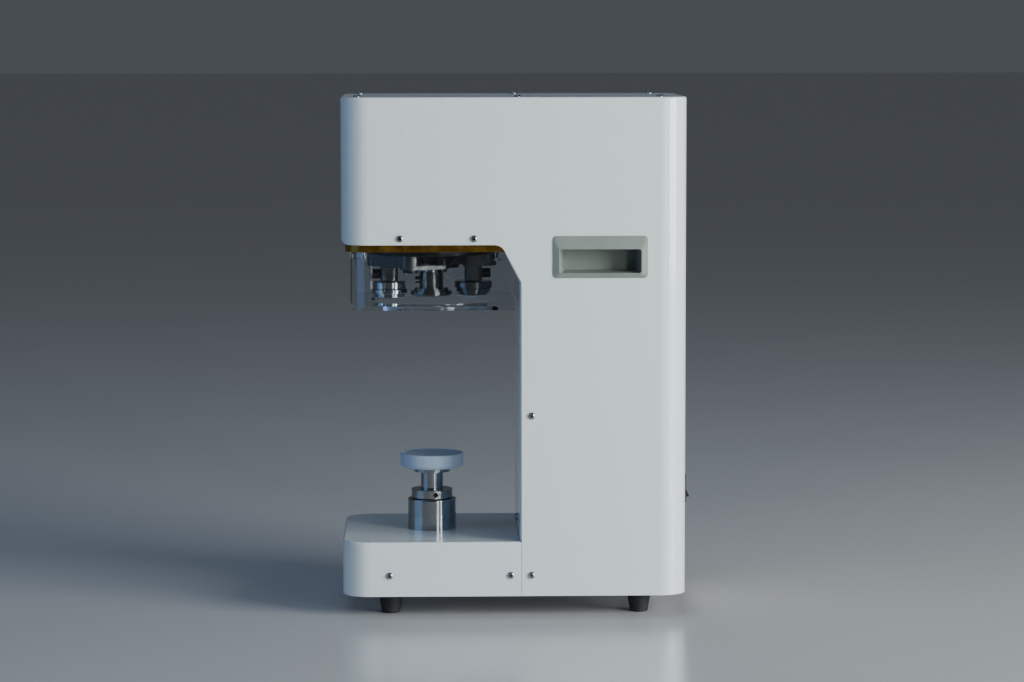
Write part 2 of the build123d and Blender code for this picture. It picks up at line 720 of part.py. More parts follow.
# Each roller: flange radius, band radius, lip radius, heights of lip, band and flange.
roller_shapes = {
    "front": (17.6, 19.2, 16.6, 4.2, 5.2, 8.2),
    "rear": (20.0, 18.0, 15.4, 3.2, 4.4, 7.4),
}
for name, turn in (("front", 0), ("rear", 180)):
    with BuildPart() as arm:
        with BuildSketch(head_frame(turn, arm_z)):
            with Locations((0, block_place)):
                RectangleRounded(block_width, block_length, block_corner_r)
        extrude(amount=arm_thick)
        with BuildSketch(head_frame(turn, arm_z)):
            with Locations(pivot_place):
                Circle(boss_r)
            with Locations((8.0, -54.0)):
                Circle(boss_r - 2)
            make_hull()
        extrude(amount=arm_thick)
        with BuildSketch(head_frame(turn, tail_z)):
            with Locations(pivot_place):
                Circle(boss_r)
            with Locations(follower_place):
                Circle(tail_r)
            make_hull()
        extrude(amount=tail_thick)
        with BuildSketch(head_frame(turn, tail_z)):
            with Locations(pivot_place):
                Circle(pin_r + running)
        extrude(amount=arm_thick + 4, mode=Mode.SUBTRACT)
        with BuildSketch(head_frame(turn, tail_z)):
            with Locations(follower_place):
                Circle(m4_r + hole_clear)
            with Locations((0, -roller_offset)):
                Circle(bolt_r + 0.02)
        extrude(amount=arm_thick + 4, mode=Mode.SUBTRACT)
    save(arm, f"arm_{name}")

    with BuildPart() as holder:
        with BuildSketch(head_frame(turn, holder_z)):
            with Locations((0, -roller_offset)):
                RectangleRounded(holder_width, holder_length, holder_corner_r)
                Circle(bolt_r + 0.02, mode=Mode.SUBTRACT)
            with Locations((0, -roller_offset - holder_length / 2)):
                Rectangle(1.6, holder_length - 2, mode=Mode.SUBTRACT)
        extrude(amount=holder_height)
        with BuildSketch(head_frame(turn, holder_z)):
            with Locations((0, -roller_offset)):
                Circle(9.0)
                Circle(bolt_r + 0.02, mode=Mode.SUBTRACT)
        extrude(amount=-(roller_gap - 0.3))
        holder_face = -roller_offset - holder_length / 2
        with BuildSketch(head_frame(turn, holder_z + clamp_rise - 2.85)):
            with Locations((clamp_side, holder_face + 2.0)):
                Rectangle(5.7, 5.0)
        extrude(amount=5.7, mode=Mode.SUBTRACT)
    save(holder, f"roller_holder_{name}")

    clamp_place = head_frame(turn, holder_z + clamp_rise).from_local_coords(
        (clamp_side, -roller_offset - holder_length / 2, 0))
    clamp_plane = Plane(origin=clamp_place, z_dir=Vector(0, -1, 0).rotate(Axis.Z, turn))
    with BuildPart() as clamp_screw:
        with Locations(clamp_plane.location):
            add(clamp_cap_screw)
    save(clamp_screw, f"clamp_screw_{name}")

    flange_r, band_r, lip_r, lip, band, flange = roller_shapes[name]
    roller_top = holder_z - roller_gap
    roller_bottom = roller_top - lip - band - flange
    with BuildPart() as roller:
        with BuildSketch(Plane(origin=head_frame(turn, 0).from_local_coords((0, -roller_offset, 0)),
                               x_dir=(1, 0, 0), z_dir=(0, -1, 0))):
            with BuildLine():
                Polyline(
                    (bolt_r + running, roller_top), (bolt_r + running, roller_bottom + 3.0),
                    (8.5, roller_bottom + 3.0), (8.5, roller_bottom), (lip_r - 0.8, roller_bottom),
                    (lip_r, roller_bottom + 0.8), (lip_r, roller_bottom + lip - 0.3),
                    (band_r - 0.6, roller_bottom + lip), (band_r, roller_bottom + lip + 0.6),
                    (band_r, roller_top - flange - 0.6), (band_r - 0.6, roller_top - flange),
                    (flange_r, roller_top - flange + 0.3), (flange_r, roller_top - 1.2),
                    (flange_r - 1.2, roller_top), close=True)
            make_face()
        revolve(axis=Axis(head_frame(turn, 0).from_local_coords((0, -roller_offset, 0)), (0, 0, 1)))
    save(roller, f"roller_{name}")

    with BuildPart() as roller_bolt:
        with BuildSketch(head_frame(turn, roller_bottom + 0.2)):
            with Locations((0, -roller_offset)):
                Circle(7.0)
        extrude(amount=2.5)
        with BuildSketch(head_frame(turn, roller_bottom + 0.2)):
            with Locations((0, -roller_offset)):
                Circle(bolt_r)
        extrude(amount=arm_z + arm_thick - 2.0 - roller_bottom)
        with BuildSketch(head_frame(turn, roller_bottom + 0.2)):
            with Locations((0, -roller_offset)):
                RegularPolygon(radius=2.9, side_count=6)
        extrude(amount=1.6, mode=Mode.SUBTRACT)
    save(roller_bolt, f"roller_bolt_{name}")

    stud_bottom = tail_z - 3.0
    with BuildPart() as follower:
        with BuildSketch(head_frame(turn, tail_z + tail_thick)):
            with Locations(follower_place):
                Circle(follower_r)
        extrude(amount=8.0)
        chamfer(follower.edges().filter_by(GeomType.CIRCLE), length=0.5)
        with BuildSketch(head_frame(turn, stud_bottom)):
            with Locations(follower_place):
                Circle(m4_r)
        extrude(amount=tail_z + tail_thick + 1.0 - stud_bottom)
        with BuildSketch(head_frame(turn, stud_bottom)):
            with Locations(follower_place):
                Circle(4.6)
        extrude(amount=3.0)
        with BuildSketch(head_frame(turn, stud_bottom)):
            with Locations(follower_place):
                RegularPolygon(radius=2.2, side_count=6)
        extrude(amount=1.8, mode=Mode.SUBTRACT)
    save(follower, f"cam_follower_{name}")

pin_head_r = 8.0
with BuildPart() as pivot_pins:
    for turn in (0, 180):
        with BuildSketch(head_frame(turn, tail_z - 3.4)):
            with Locations(pivot_place):
                Circle(pin_head_r)
        extrude(amount=3.1)
        with BuildSketch(head_frame(turn, tail_z - 0.3)):
            with Locations(pivot_place):
                Circle(pin_r)
        extrude(amount=rotor_z - tail_z + 0.3)
        with BuildSketch(head_frame(turn, rotor_z)):
            with Locations(pivot_place):
                Circle(pin_r - 1.52)
        extrude(amount=rotor_thick - 0.5)
        with BuildSketch(head_frame(turn, tail_z - 3.4)):
            with Locations(pivot_place):
                RegularPolygon(radius=3.4, side_count=6)
        extrude(amount=2.0, mode=Mode.SUBTRACT)
save(pivot_pins, "pivot_pins")

# Drive: a motor hung below its bracket, with a two-step pulley for the two belts.
bracket_thick = 6.0
bracket_half = 62.0
shaft_r = 6.0
shaft_top = cam_pulley_z + pulley_height + 3.0
motor_hole = 26.0
motor_flange = 76.0
motor_bolt = 31.0
motor_points = [(x, motor_y + y) for x in (-motor_bolt, motor_bolt)
                for y in (-motor_bolt, motor_bolt)]
bracket_front = plate_back - 24.0
crossbar = (notch_y[1] + 1.0, frame_back)
with BuildPart() as motor_bracket:
    with BuildSketch(Plane.XY.offset(plate_top)):
        with Locations((0, (bracket_front + frame_back) / 2)):
            Rectangle(2 * bracket_half, frame_back - bracket_front)
        with Locations((0, (crossbar[0] + crossbar[1]) / 2)):
            Rectangle(2 * frame_x, crossbar[1] - crossbar[0])
        with Locations((0, motor_y)):
            Circle(motor_hole / 2 + 0.3, mode=Mode.SUBTRACT)
        with Locations(*motor_points):
            Circle(m5_r + hole_clear, mode=Mode.SUBTRACT)
    extrude(amount=bracket_thick)
save(motor_bracket, "motor_bracket")

with BuildPart() as drive_motor:
    with BuildSketch(Plane.XY.offset(plate_top)):
        with Locations((0, motor_y)):
            RectangleRounded(motor_flange, motor_flange, 8)
    extrude(amount=-22.0)
    with BuildSketch(Plane.XY.offset(plate_top - 22.0)):
        with Locations((0, motor_y)):
            Circle(motor_r - 3)
    extrude(amount=-(motor_length - 32.0))
    with BuildSketch(Plane.XY.offset(plate_top - motor_length + 10.0)):
        with Locations((0, motor_y)):
            Circle(motor_r - 1)
    extrude(amount=-10.0)
    chamfer(drive_motor.edges().group_by(Axis.Z)[0], length=1.5)
    with BuildSketch(Plane.XY.offset(plate_top)):
        with Locations((0, motor_y)):
            Circle(motor_hole / 2)
    extrude(amount=4.0)
    with BuildSketch(Plane.XY.offset(plate_top + 4.0)):
        with Locations((0, motor_y)):
            Circle(shaft_r + running)
    extrude(amount=-24.0, mode=Mode.SUBTRACT)
    with BuildSketch(Plane.XY.offset(plate_top)):
        with Locations(*motor_points):
            Circle(m5_r + hole_clear)
    extrude(amount=-14.0, mode=Mode.SUBTRACT)
save(drive_motor, "drive_motor")

with BuildPart() as drive_pulley:
    with BuildSketch(Plane.XY.offset(rotor_pulley_z)):
        with Locations((0, motor_y)):
            Circle(drive_pulley_r)
    extrude(amount=cam_pulley_z + pulley_height - rotor_pulley_z)
    for level in (rotor_pulley_z, rotor_pulley_z + pulley_height - 0.9, cam_pulley_z,
                  cam_pulley_z + pulley_height - 0.9):
        with BuildSketch(Plane.XY.offset(level)):
            with Locations((0, motor_y)):
                Circle(drive_pulley_r + belt_gap + belt_thick)
        extrude(amount=0.9)
    with BuildSketch(Plane.XY.offset(plate_top - 19.0)):
        with Locations((0, motor_y)):
            Circle(shaft_r)
    extrude(amount=shaft_top - plate_top + 19.0)
save(drive_pulley, "drive_pulley")


def belt(z, height, place_a, radius_a, place_b, radius_b):
    """Flat loop of belt round two pulleys."""
    with BuildPart() as loop:
        with BuildSketch(Plane.XY.offset(z)):
            with Locations(place_a):
                Circle(radius_a + belt_gap + belt_thick)
            with Locations(place_b):
                Circle(radius_b + belt_gap + belt_thick)
            make_hull()
        extrude(amount=height)
        with BuildSketch(Plane.XY.offset(z)):
            with Locations(place_a):
                Circle(radius_a + belt_gap)
            with Locations(place_b):
                Circle(radius_b + belt_gap)
            make_hull()
        extrude(amount=height, mode=Mode.SUBTRACT)
    return loop


belt_run = pulley_height - 0.9 * 2 - 0.8
belt_seat = 0.9 + 0.4
save(belt(rotor_pulley_z + belt_seat, belt_run, (0, axis_y), rotor_pulley_r, (0, motor_y),
          drive_pulley_r), "rotor_belt")
save(belt(cam_pulley_z + belt_seat, belt_run, (0, axis_y), cam_pulley_r, (0, motor_y),
          drive_pulley_r), "cam_belt")

# ================= Lift =================

deck_top = z_shell + lift_deck
deck_thick = 5.0
deck_bottom = deck_top - deck_thick
cylinder_top = z_base_top + cylinder_rise
deck_ends = (-39.0, panel_face - axis_y - 3.5)
leg_points = [(x, axis_y + y) for x in (-40.0, 40.0) for y in (-31.0, deck_ends[1] - 7.5)]
cylinder_bolt_r = cylinder_flange_r - 5.8
cylinder_bolts = [(diagonal * cylinder_bolt_r * i, axis_y + diagonal * cylinder_bolt_r * j)
                  for i in (-1, 1) for j in (-1, 1)]
with BuildPart() as lift_deck_plate:
    with BuildSketch(Plane.XY.offset(deck_bottom)):
        with Locations((0, axis_y + (deck_ends[0] + deck_ends[1]) / 2)):
            RectangleRounded(96, deck_ends[1] - deck_ends[0], 6)
        with Locations((0, axis_y)):
            Circle(screw_r + running, mode=Mode.SUBTRACT)
        with Locations((0, lift_motor_y)):
            Circle(11.3, mode=Mode.SUBTRACT)
        with Locations(*cylinder_bolts):
            Circle(m5_r + hole_clear, mode=Mode.SUBTRACT)
    extrude(amount=deck_thick)
    with BuildSketch(Plane.XY.offset(frame_foot)):
        with Locations(*leg_points):
            RegularPolygon(radius=6.0, side_count=6)
    extrude(amount=deck_bottom - frame_foot)
    with BuildSketch(Plane.XY.offset(frame_foot)):
        with Locations(*leg_points):
            Circle(m5_r + hole_clear)
    extrude(amount=deck_top - frame_foot, mode=Mode.SUBTRACT)
save(lift_deck_plate, "lift_deck")

# Guide cylinder, stem, collar and tray.
stem_foot = deck_top + 3.0
stem_top = z_base_top + tray_rise - tray_thick - 4.4
guide_depth = 26.0
with BuildPart() as lift_cylinder:
    with BuildSketch(Plane.XY.offset(deck_top)):
        with Locations((0, axis_y)):
            Circle(cylinder_flange_r)
    extrude(amount=5.0)
    with BuildSketch(Plane.XY.offset(deck_top)):
        with Locations((0, axis_y)):
            Circle(cylinder_r)
    extrude(amount=cylinder_top - deck_top)
    fillet(lift_cylinder.edges().group_by(Axis.Z)[-1], radius=1.5)
    with BuildSketch(Plane.XY.offset(deck_top)):
        with Locations((0, axis_y)):
            Circle(stem_r + running)
    extrude(amount=cylinder_top - deck_top, mode=Mode.SUBTRACT)
    with BuildSketch(Plane.XY.offset(deck_top)):
        with Locations((0, axis_y)):
            Circle(stem_r + 3)
    extrude(amount=cylinder_top - deck_top - guide_depth, mode=Mode.SUBTRACT)
    with BuildSketch(Plane.XY.offset(deck_top)):
        with Locations(*cylinder_bolts):
            Circle(m5_r + hole_clear)
    extrude(amount=5.0, mode=Mode.SUBTRACT)
save(lift_cylinder, "lift_cylinder")

nut_r = 8.0
nut_height = 14.0
with BuildPart() as stem:
    with BuildSketch(Plane.XY.offset(stem_foot)):
        with Locations((0, axis_y)):
            Circle(stem_r)
    extrude(amount=stem_top - stem_foot)
    with BuildSketch(Plane.XY.offset(stem_top)):
        with Locations((0, axis_y)):
            Circle(19.5)
    extrude(amount=3.0)
    with BuildSketch(Plane.XY.offset(stem_foot)):
        with Locations((0, axis_y)):
            Circle(screw_r + 0.8)
    extrude(amount=cylinder_top - stem_foot + 6.0, mode=Mode.SUBTRACT)
    with BuildSketch(Plane.XY.offset(stem_foot)):
        with Locations((0, axis_y)):
            Circle(nut_r + 0.02)
    extrude(amount=nut_height, mode=Mode.SUBTRACT)
save(stem, "lift_stem")

with BuildPart() as lift_nut:
    with BuildSketch(Plane.XY.offset(stem_foot)):
        with Locations((0, axis_y)):
            Circle(nut_r)
            Circle(screw_r + running, mode=Mode.SUBTRACT)
    extrude(amount=nut_height)
save(lift_nut, "lift_nut")

collar_screw_turn = 10.0
with BuildPart() as stop_collar:
    with BuildSketch(Plane.XY.offset(cylinder_top)):
        with Locations((0, axis_y)):
            Circle(collar_r)
            Circle(stem_r + 0.02, mode=Mode.SUBTRACT)
    extrude(amount=collar_height)
    chamfer(stop_collar.edges().filter_by(GeomType.CIRCLE).sort_by(SortBy.RADIUS)[-2:], length=0.7)
    with BuildSketch(Plane(origin=(0, axis_y, cylinder_top + collar_height / 2), x_dir=(0, 0, 1),
                           z_dir=Vector(1, 0, 0).rotate(Axis.Z, collar_screw_turn))):
        Circle(m4_r + 0.7)
    extrude(amount=collar_r + 1, mode=Mode.SUBTRACT)
save(stop_collar, "stop_collar")

with BuildPart() as collar_screw:
    with BuildSketch(Plane(origin=(0, axis_y, cylinder_top + collar_height / 2), x_dir=(0, 0, 1),
                           z_dir=Vector(1, 0, 0).rotate(Axis.Z, collar_screw_turn))):
        Circle(m4_r + 0.65)
    extrude(amount=collar_r - 0.6)
    with BuildSketch(Plane.XY.offset(cylinder_top)):
        with Locations((0, axis_y)):
            Circle(stem_r + 0.1)
    extrude(amount=collar_height, mode=Mode.SUBTRACT)
    with BuildSketch(Plane(origin=(0, axis_y, cylinder_top + collar_height / 2), x_dir=(0, 0, 1),
                           z_dir=Vector(1, 0, 0).rotate(Axis.Z, collar_screw_turn)).offset(
                               collar_r - 0.6)):
        RegularPolygon(radius=1.7, side_count=6)
    extrude(amount=-3.0, mode=Mode.SUBTRACT)
save(collar_screw, "collar_screw")

tray_z = stem_top + 3.0
tray_seat = z_base_top + tray_rise - tray_thick
with BuildPart() as tray:
    with BuildSketch(Plane.XY.offset(tray_seat)):
        with Locations((0, axis_y)):
            Circle(tray_r)
    extrude(amount=tray_thick)
    fillet(tray.edges().group_by(Axis.Z)[0], radius=tray_edge_r)
    fillet(tray.edges().group_by(Axis.Z)[-1], radius=1.0)
    with BuildSketch(Plane.XY.offset(tray_z)):
        with Locations((0, axis_y)):
            Circle(16.0)
    extrude(amount=tray_seat - tray_z)
    with BuildSketch(Plane.XY.offset(z_base_top + tray_rise)):
        with Locations((0, axis_y)):
            Circle(tray_r - tray_rim)
    extrude(amount=-tray_recess, mode=Mode.SUBTRACT)
save(tray, "tray")

# Lead screw, its bearing, pulleys, belt and motor.
screw_pulley_z = frame_foot + 3.0
screw_pulley_height = 9.0
screw_pulley_r = 14.0
motor_pulley_r = 7.0
lift_shaft_r = 2.5
with BuildPart() as lead_screw:
    with BuildSketch(Plane.XY.offset(screw_pulley_z)):
        with Locations((0, axis_y)):
            Circle(screw_r)
    extrude(amount=cylinder_top - screw_pulley_z)
    chamfer(lead_screw.edges().group_by(Axis.Z)[-1], length=0.8)
    with BuildSketch(Plane.XY.offset(screw_pulley_z)):
        with Locations((0, axis_y)):
            Circle(screw_pulley_r)
    extrude(amount=screw_pulley_height)
save(lead_screw, "lead_screw")

with BuildPart() as lift_pulley:
    with BuildSketch(Plane.XY.offset(screw_pulley_z)):
        with Locations((0, lift_motor_y)):
            Circle(motor_pulley_r)
    extrude(amount=screw_pulley_height)
    with BuildSketch(Plane.XY.offset(screw_pulley_z)):
        with Locations((0, lift_motor_y)):
            Circle(lift_shaft_r)
    extrude(amount=deck_top + 18.0 - screw_pulley_z)
save(lift_pulley, "lift_motor_pulley")

save(belt(screw_pulley_z + 1.0, screw_pulley_height - 2.0, (0, axis_y), screw_pulley_r,
          (0, lift_motor_y), motor_pulley_r), "lift_belt")

lift_motor_top = z_base_top - sheet - 1.2
with BuildPart() as lift_motor:
    with BuildSketch(Plane.XY.offset(deck_top)):
        with Locations((0, lift_motor_y)):
            RectangleRounded(lift_motor_size, lift_motor_size, 4)
    extrude(amount=lift_motor_top - deck_top)
    with BuildSketch(Plane.XY.offset(deck_top)):
        with Locations((0, lift_motor_y)):
            Circle(11.0)
    extrude(amount=-2.0)
    with BuildSketch(Plane.XY.offset(deck_top - 2.0)):
        with Locations((0, lift_motor_y)):
            Circle(lift_shaft_r + running)
    extrude(amount=22.0, mode=Mode.SUBTRACT)
save(lift_motor, "lift_motor")

# ================= Display, electronics, inlet and handles =================

with BuildPart() as display:
    with BuildSketch(Plane.XZ.offset(-(front_y + display_inset))):
        with Locations((0, display_z)):
            RectangleRounded(display_width - 2 * window_clear, display_height - 2 * window_clear,
                             3 - window_clear)
    extrude(amount=-3.0)
    with BuildSketch(Plane.XZ.offset(-(front_y + display_inset + 1.5))):
        with Locations((0, display_z)):
            RectangleRounded(display_width + 10, display_height + 10, 3)
    extrude(amount=-9.0)
    with BuildSketch(Plane.XZ.offset(-(front_y + display_inset))):
        with Locations((0, display_z)):
            Rectangle(display_width - 18, display_height - 16)
    extrude(amount=-1.0, mode=Mode.SUBTRACT)
save(display, "display_frame")

with BuildPart() as display_glass:
    with BuildSketch(Plane.XZ.offset(-(front_y + display_inset + 0.2))):
        with Locations((0, display_z)):
            Rectangle(display_width - 18.2, display_height - 16.2)
    extrude(amount=-0.75)
save(display_glass, "display_glass")

board_y = front_y + display_inset + 1.5 + 9.0 + 10.0
with BuildPart() as control_board:
    with BuildSketch(Plane.XZ.offset(-board_y)):
        with Locations((0, display_z)):
            Rectangle(display_width - 10, display_height)
    extrude(amount=-1.6)
    with BuildSketch(Plane.XZ.offset(-(board_y + 1.6))):
        with Locations((-30, display_z + 18), (10, display_z - 12), (42, display_z + 16)):
            Rectangle(18, 14)
    extrude(amount=-5.0)
    with BuildSketch(Plane.XZ.offset(-(board_y - 10.0))):
        with Locations(*[(x, display_z + y) for x in (-52, 52) for y in (-32, 32)]):
            Circle(3.0)
    extrude(amount=-10.0)
save(control_board, "control_board")

supply_size = (98.0, 42.0, 160.0)
with BuildPart() as power_supply:
    with BuildSketch(Plane.XY.offset(frame_foot)):
        with Locations((0, (frame_front + frame_back) / 2 - 30.0)):
            Rectangle(supply_size[0], supply_size[1])
    extrude(amount=supply_size[2])
    chamfer(power_supply.edges().group_by(Axis.Z)[-1], length=1.5)
save(power_supply, "power_supply")

# Power inlet with a rocker switch beside the socket.
inlet_flange = 2.0
inlet_depth = 26.0
inlet_face = rear_y + inlet_flange
socket_x = inlet_x - 9.0
rocker_x = inlet_x + 16.5
rocker_width = 10.0
rocker_height = 20.0
rocker_depth = 8.0
with BuildPart() as power_inlet:
    with BuildSketch(Plane.XZ.offset(-inlet_face)):
        with Locations((inlet_x, inlet_z)):
            RectangleRounded(inlet_width + 4, inlet_height + 3, 3)
    extrude(amount=inlet_flange)
    with BuildSketch(Plane.XZ.offset(-rear_y)):
        with Locations((inlet_x, inlet_z)):
            Rectangle(inlet_width - 3 - 2 * window_clear, inlet_height - 3 - 2 * window_clear)
    extrude(amount=inlet_depth)
    with BuildSketch(Plane.XZ.offset(-inlet_face)):
        with Locations((socket_x, inlet_z)):
            RectangleRounded(24.0, 16.5, 2)
        with Locations((rocker_x, inlet_z)):
            Rectangle(rocker_width + 0.8, rocker_height + 0.8)
    extrude(amount=17.0, mode=Mode.SUBTRACT)
    with BuildSketch(Plane.XZ.offset(-(inlet_face - 17.0))):
        with Locations((socket_x - 7, inlet_z - 2), (socket_x, inlet_z + 2.5),
                       (socket_x + 7, inlet_z - 2)):
            Rectangle(2.0, 4.0)
    extrude(amount=-11.0)
save(power_inlet, "power_inlet")

# Rocker: pivots across its middle, with its lower half standing out at rest.
rocker_pivot = inlet_face - 3.0
rocker_tip = rear_y + switch_proud
with BuildPart() as rocker:
    with BuildSketch(Plane.YZ.offset(rocker_x - rocker_width / 2)):
        with BuildLine():
            Polyline((rocker_pivot - 4.5, inlet_z), (rocker_pivot - 3.0, inlet_z - rocker_height * 0.42),
                     (rocker_tip, inlet_z - rocker_height * 0.46), (rocker_pivot + 3.2, inlet_z),
                     (rocker_pivot + 2.6, inlet_z + rocker_height * 0.46),
                     (rocker_pivot - 4.0, inlet_z + rocker_height * 0.42), close=True)
        make_face()
    extrude(amount=rocker_width)
    fillet(rocker.edges().filter_by(Axis.X).group_by(Axis.Y)[-1], radius=0.8)
save(rocker, "power_switch")

# Handles: one moulded cup in each side, snapped into its window.
handle_wall = 2.5
cup_inset = handle_lap + fit_gap
pocket_z = handle_z - pocket_drop
for side, name in ((-1, "handle_left"), (1, "handle_right")):
    shell_face = side * body_width / 2
    face = shell_face + side * handle_proud
    with BuildPart() as handle:
        with BuildSketch(Plane.YZ.offset(shell_face)):
            with Locations((handle_y, handle_z)):
                RectangleRounded(handle_length, handle_height, 4)
        extrude(amount=side * handle_edge)
        with BuildSketch(Plane.YZ.offset(shell_face + side * handle_edge)):
            with Locations((handle_y, handle_z)):
                RectangleRounded(handle_length, handle_height, 4)
        with BuildSketch(Plane.YZ.offset(face)):
            with Locations((handle_y, pocket_z)):
                RectangleRounded(pocket_length + 2 * handle_rim, pocket_height + 2 * handle_rim, 3)
        loft()
        with BuildSketch(Plane.YZ.offset(shell_face)):
            with Locations((handle_y, handle_z)):
                RectangleRounded(handle_length - 2 * cup_inset, handle_height - 2 * cup_inset, 3)
        extrude(amount=-side * pocket_depth)
        with BuildSketch(Plane.YZ.offset(face)):
            with Locations((handle_y, pocket_z)):
                RectangleRounded(pocket_length, pocket_height, 2.5)
        with BuildSketch(Plane.YZ.offset(shell_face - side * (pocket_depth - handle_wall))):
            with Locations((handle_y, pocket_z)):
                RectangleRounded(pocket_length - pocket_draft[0], pocket_height - pocket_draft[1], 2.5)
        loft(mode=Mode.SUBTRACT)
    save(handle, name)

# ================= Fasteners =================

# Button-head screws: sides, lid, column panel and guard.
with BuildPart() as button_screws:
    for turn, x in ((90, body_width / 2), (-90, -body_width / 2)):
        with Locations(*[Location((x, y, z), (0, turn, 0)) for y, z in side_points]):
            add(side_screw)
    with Locations(*[(x, y, z_top) for x, y in lid_points]):
        add(lid_screw)
    with Locations(Location((0, panel_face, z_base_top + panel_screw_rise), (90, 0, 0))):
        add(panel_screw)
    with Locations(*[Location((x, y, guard_top - lug_thick), (180, 0, 0)) for x, y in lug_points]):
        add(guard_screw)
save(button_screws, "button_screws")

# Socket-head screws: feet, frames, lift, bearing housing, bridge and motor.
foot_screw = cap_screw(length=foot_height - foot_screw_seat + plate_floor + 3)
frame_screw = cap_screw(length=6.0)
bridge_screw = cap_screw(length=20.0)
motor_screw = cap_screw(length=16.0)
with BuildPart() as cap_screws:
    with Locations(*[Location((x, y, foot_screw_seat), (180, 0, 0)) for x, y in foot_points]):
        add(foot_screw)
    with Locations(*[(x, y, frame_foot + frame_sheet) for x, y in frame_points]):
        add(frame_screw)
    with Locations(*[(x, y, deck_top) for x, y in leg_points]):
        add(long_cap_screw)
    with Locations(*[(x, y, deck_top + 5.0) for x, y in cylinder_bolts]):
        add(short_cap_screw)
    with Locations(*[(x, y, plate_top + 2.0) for x, y in housing_bolts]):
        add(long_cap_screw)
    with Locations(*[(x, y, bridge_z + bridge_thick) for x, y in post_points]):
        add(bridge_screw)
    with Locations(*[(x, y, plate_top + bracket_thick) for x, y in motor_points]):
        add(motor_screw)
save(cap_screws, "cap_screws")
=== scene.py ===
import json
import math
import bpy
from mathutils import Matrix, Vector


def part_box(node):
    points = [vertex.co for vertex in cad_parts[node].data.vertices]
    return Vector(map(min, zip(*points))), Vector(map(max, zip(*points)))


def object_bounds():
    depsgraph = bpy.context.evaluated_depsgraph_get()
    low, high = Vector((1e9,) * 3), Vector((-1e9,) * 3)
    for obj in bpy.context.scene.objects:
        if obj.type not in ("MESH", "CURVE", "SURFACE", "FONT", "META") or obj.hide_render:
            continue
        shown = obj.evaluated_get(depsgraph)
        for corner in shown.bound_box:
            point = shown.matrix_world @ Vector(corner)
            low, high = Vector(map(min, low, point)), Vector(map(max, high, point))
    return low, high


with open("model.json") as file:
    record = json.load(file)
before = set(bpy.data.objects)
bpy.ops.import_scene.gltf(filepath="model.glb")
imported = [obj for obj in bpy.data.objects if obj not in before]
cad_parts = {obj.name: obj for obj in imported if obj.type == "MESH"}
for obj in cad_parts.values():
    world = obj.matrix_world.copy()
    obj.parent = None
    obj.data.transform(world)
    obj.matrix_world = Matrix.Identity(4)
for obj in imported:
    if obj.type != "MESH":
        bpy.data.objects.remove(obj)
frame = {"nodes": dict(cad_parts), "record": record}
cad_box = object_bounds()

# Looks of the sealing machine. Metres, +Z up, the front faces -Y.

nodes = frame["nodes"]
scene = bpy.context.scene


# ---------------------------------------------------------------- materials

# Painted shade in sockets and crevices: how dark it gets and how far the occlusion looks.
PAINTED_SHADE_DARK = 0.12
PAINTED_SHADE_REACH = 0.003
RING_SCALE = 1500
RING_STRENGTH = 0.12


def link(mat, a, b):
    mat.node_tree.links.new(a, b)


def new_node(mat, kind, **settings):
    made = mat.node_tree.nodes.new(kind)
    for key, value in settings.items():
        setattr(made, key, value)
    return made


def start(name, color, metallic=0.0, roughness=0.4, **sockets):
    """A principled material, with its constant values on the shader's own sockets."""
    mat = bpy.data.materials.new(name)
    mat.use_nodes = True
    shader = mat.node_tree.nodes["Principled BSDF"]
    shader.inputs["Base Color"].default_value = (*color, 1)
    shader.inputs["Metallic"].default_value = metallic
    shader.inputs["Roughness"].default_value = roughness
    for key, value in sockets.items():
        shader.inputs[key.replace("_", " ")].default_value = value
    mat.diffuse_color = (*color, 1)
    return mat, shader


def coords(mat, stretch=(1, 1, 1)):
    """Object coordinates, stretched along each axis."""
    where = new_node(mat, "ShaderNodeTexCoord")
    mapping = new_node(mat, "ShaderNodeMapping")
    mapping.inputs["Scale"].default_value = stretch
    link(mat, where.outputs["Object"], mapping.inputs["Vector"])
    return mapping.outputs["Vector"]


def noise(mat, vector, scale, detail=3.0, rough=0.55):
    made = new_node(mat, "ShaderNodeTexNoise")
    made.inputs["Scale"].default_value = scale
    made.inputs["Detail"].default_value = detail
    made.inputs["Roughness"].default_value = rough
    link(mat, vector, made.inputs["Vector"])
    return made.outputs["Fac"]


def spread(mat, value, low, high, start_at=0.3, end_at=0.7):
    """Maps a noise value onto a range."""
    made = new_node(mat, "ShaderNodeMapRange")
    made.inputs["From Min"].default_value = start_at
    made.inputs["From Max"].default_value = end_at
    made.inputs["To Min"].default_value = low
    made.inputs["To Max"].default_value = high
    link(mat, value, made.inputs["Value"])
    return made.outputs["Result"]


def tint(mat, shader, value, dark, light, start_at=0.3, end_at=0.7):
    """Colours the shader between two near colours by a noise value."""
    ramp = new_node(mat, "ShaderNodeValToRGB")
    ramp.color_ramp.elements[0].position = start_at
    ramp.color_ramp.elements[1].position = end_at
    ramp.color_ramp.elements[0].color = (*dark, 1)
    ramp.color_ramp.elements[1].color = (*light, 1)
    link(mat, value, ramp.inputs["Fac"])
    link(mat, ramp.outputs["Color"], shader.inputs["Base Color"])
    return ramp


def relief(mat, shader, heights, edge=0.0):
    """Stacks bumps, each (value, strength, distance), over softened edges of the given radius."""
    last = None
    if edge:
        soft = new_node(mat, "ShaderNodeBevel", samples=4)
        soft.inputs["Radius"].default_value = edge
        last = soft.outputs["Normal"]
    for value, strength, distance in heights:
        bump = new_node(mat, "ShaderNodeBump")
        bump.inputs["Strength"].default_value = strength
        bump.inputs["Distance"].default_value = distance
        link(mat, value, bump.inputs["Height"])
        if last is not None:
            link(mat, last, bump.inputs["Normal"])
        last = bump.outputs["Normal"]
    if last is not None:
        link(mat, last, shader.inputs["Normal"])


